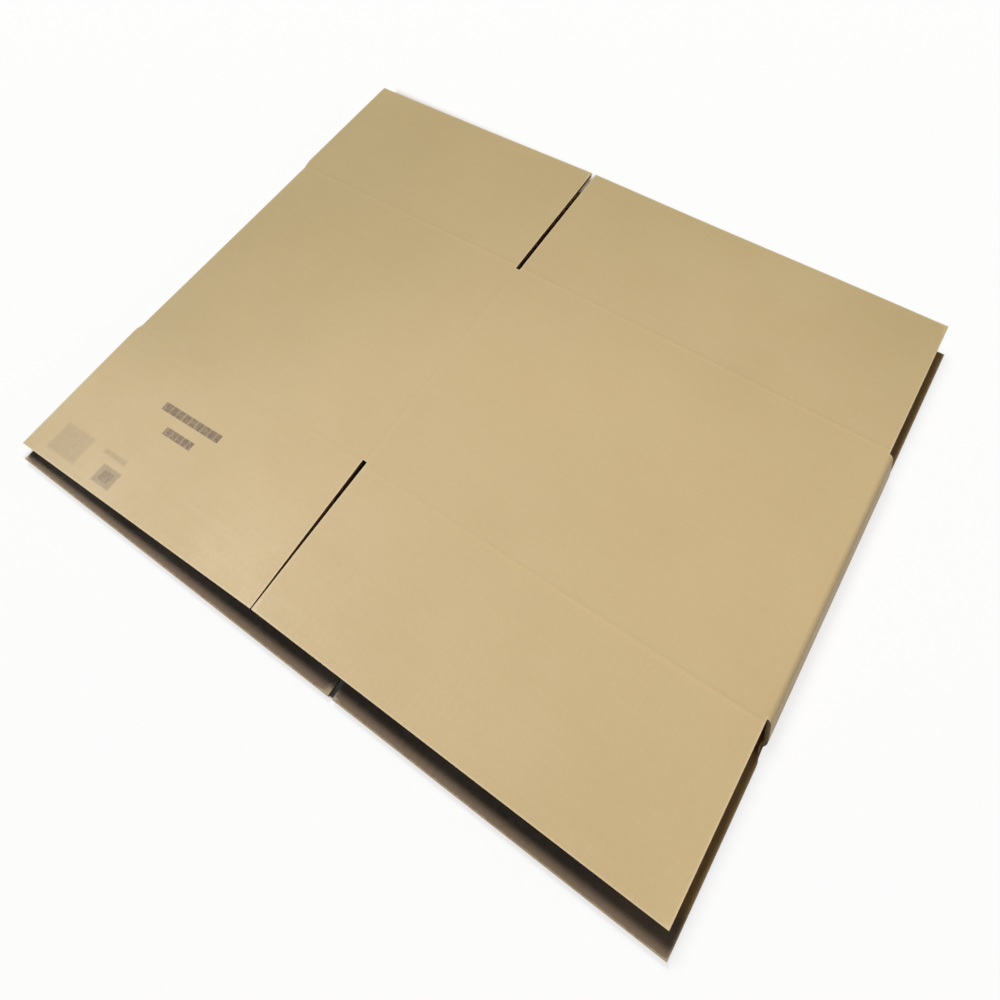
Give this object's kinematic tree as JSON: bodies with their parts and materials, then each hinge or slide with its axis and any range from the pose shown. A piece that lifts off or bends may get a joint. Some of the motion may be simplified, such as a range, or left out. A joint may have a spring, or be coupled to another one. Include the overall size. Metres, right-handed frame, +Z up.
{
  "type": "flattened cardboard box",
  "caption": "Corrugated cardboard carton, glued and knocked down flat, with slotted flaps; it is squared up, folded and taped to pack goods.",
  "frame": {"origin": "centre of the bounding box, on the surface that the flat carton lies on", "axes": "+X across the panels, from the upper left short side panel to the long one, +Y along the flutes and the folds towards the back, +Z up"},
  "size_m": [0.804, 0.67, 0.026],
  "materials": {
    "kraft_board": "matt brown kraft liner"
  },
  "bodies": {
    "root": {"folded_box": "kraft_board"}
  },
  "joints": []
}
